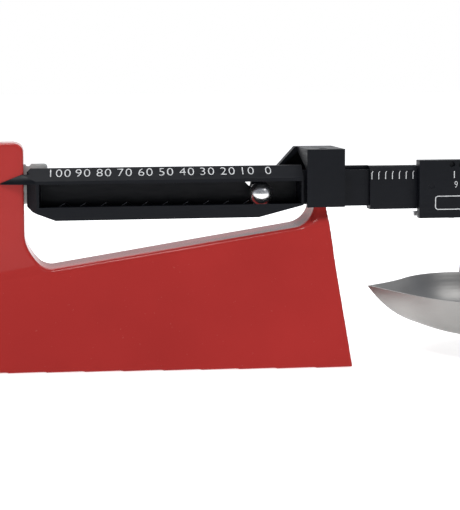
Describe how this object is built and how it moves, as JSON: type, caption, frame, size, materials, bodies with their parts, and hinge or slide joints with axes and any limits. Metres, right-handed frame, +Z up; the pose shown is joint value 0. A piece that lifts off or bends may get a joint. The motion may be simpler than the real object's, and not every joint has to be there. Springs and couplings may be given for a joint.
{
  "type": "beam balance",
  "caption": "Single-beam grain balance: enamelled two-post base, notched beam with rolling ball and sliding poise, damping vane, hanging spouted pan.",
  "frame": {"origin": "centre of the bounding box at the height of the surface that it stands on, 1 mm right of the ball's zero notch", "axes": "+X along the beam towards the pan, +Y away from the user, +Z up"},
  "size_m": [0.294, 0.0892, 0.1025],
  "materials": {
    "red_enamel": "glossy powder coat",
    "black_phenolic": "satin moulded phenolic",
    "chrome_steel": "polished",
    "bright_steel": "bright plated",
    "satin_aluminium": "satin spun",
    "vane_aluminium": "dull sheet",
    "magnet": "ground ferrite",
    "brass": "turned",
    "rubber": "matt"
  },
  "bodies": {
    "base": {"base_casting": "red_enamel", "zero_plate": "vane_aluminium", "zero_plate_pin_lower": "bright_steel", "zero_plate_pin_upper": "bright_steel", "magnet_front": "magnet", "magnet_rear": "magnet", "bearing_plate_front": "bright_steel", "bearing_plate_rear": "bright_steel", "bearing_screw_front": "bright_steel", "bearing_screw_rear": "bright_steel", "foot_front": "rubber", "foot_rear": "rubber"},
    "levelling_pad": {"foot_pad": "rubber"},
    "levelling_screw": {"levelling_screw": "brass"},
    "beam": {"beam": "black_phenolic", "knife_edge_front": "bright_steel", "knife_edge_rear": "bright_steel", "damping_vane": "vane_aluminium", "vane_rivet_left": "bright_steel", "vane_rivet_right": "bright_steel", "hanger_pin": "bright_steel"},
    "ball": {"poise_ball": "chrome_steel"},
    "slider": {"poise_slider": "black_phenolic", "slider_spring": "bright_steel", "slider_rivet": "bright_steel"},
    "zero_adjuster": {"zero_adjust_screw": "brass"},
    "hanger": {"hanger_stirrup": "bright_steel", "hanger_cross_pin": "bright_steel", "hanger_bail": "bright_steel"},
    "pan": {"pan": "satin_aluminium"}
  },
  "joints": [
    {"name": "beam_tilt", "type": "hinge", "parent": "base", "child": "beam", "pos_m": [0.0265, 0, 0.086], "axis": [0, 1, 0], "range_deg": [-2.5, 2.5]},
    {"name": "ball_roll", "type": "slide", "parent": "beam", "child": "ball", "axis": [-1, 0, 0], "range_m": [0, 0.0955]},
    {"name": "poise_slide", "type": "slide", "parent": "beam", "child": "slider", "axis": [-1, 0, 0], "range_m": [-0.002, 0.0222]},
    {"name": "zero_adjust_turn", "type": "hinge", "parent": "beam", "child": "zero_adjuster", "pos_m": [0.117, 0, 0.084], "axis": [1, 0, 0], "range_deg": [-720, 720]},
    {"name": "hanger_swing", "type": "hinge", "parent": "beam", "child": "hanger", "pos_m": [0.1105, 0, 0.086], "axis": [0, 1, 0], "range_deg": [-10, 10]},
    {"name": "pan_lift", "type": "slide", "parent": "hanger", "child": "pan", "axis": [0, 0, 1], "range_m": [0, 0.005]},
    {"name": "foot_rise", "type": "slide", "parent": "base", "child": "levelling_pad", "axis": [0, 0, -1], "range_m": [-0.0009, 0.0009]},
    {"name": "screw_turn", "type": "hinge", "parent": "levelling_pad", "child": "levelling_screw", "pos_m": [-0.142, 0, 0], "axis": [0, 0, -1], "range_deg": [-450, 450]}
  ],
  "couplings": [
    {"joint": "foot_rise", "follows": "screw_turn", "m_per_rad": 0.00011141}
  ]
}
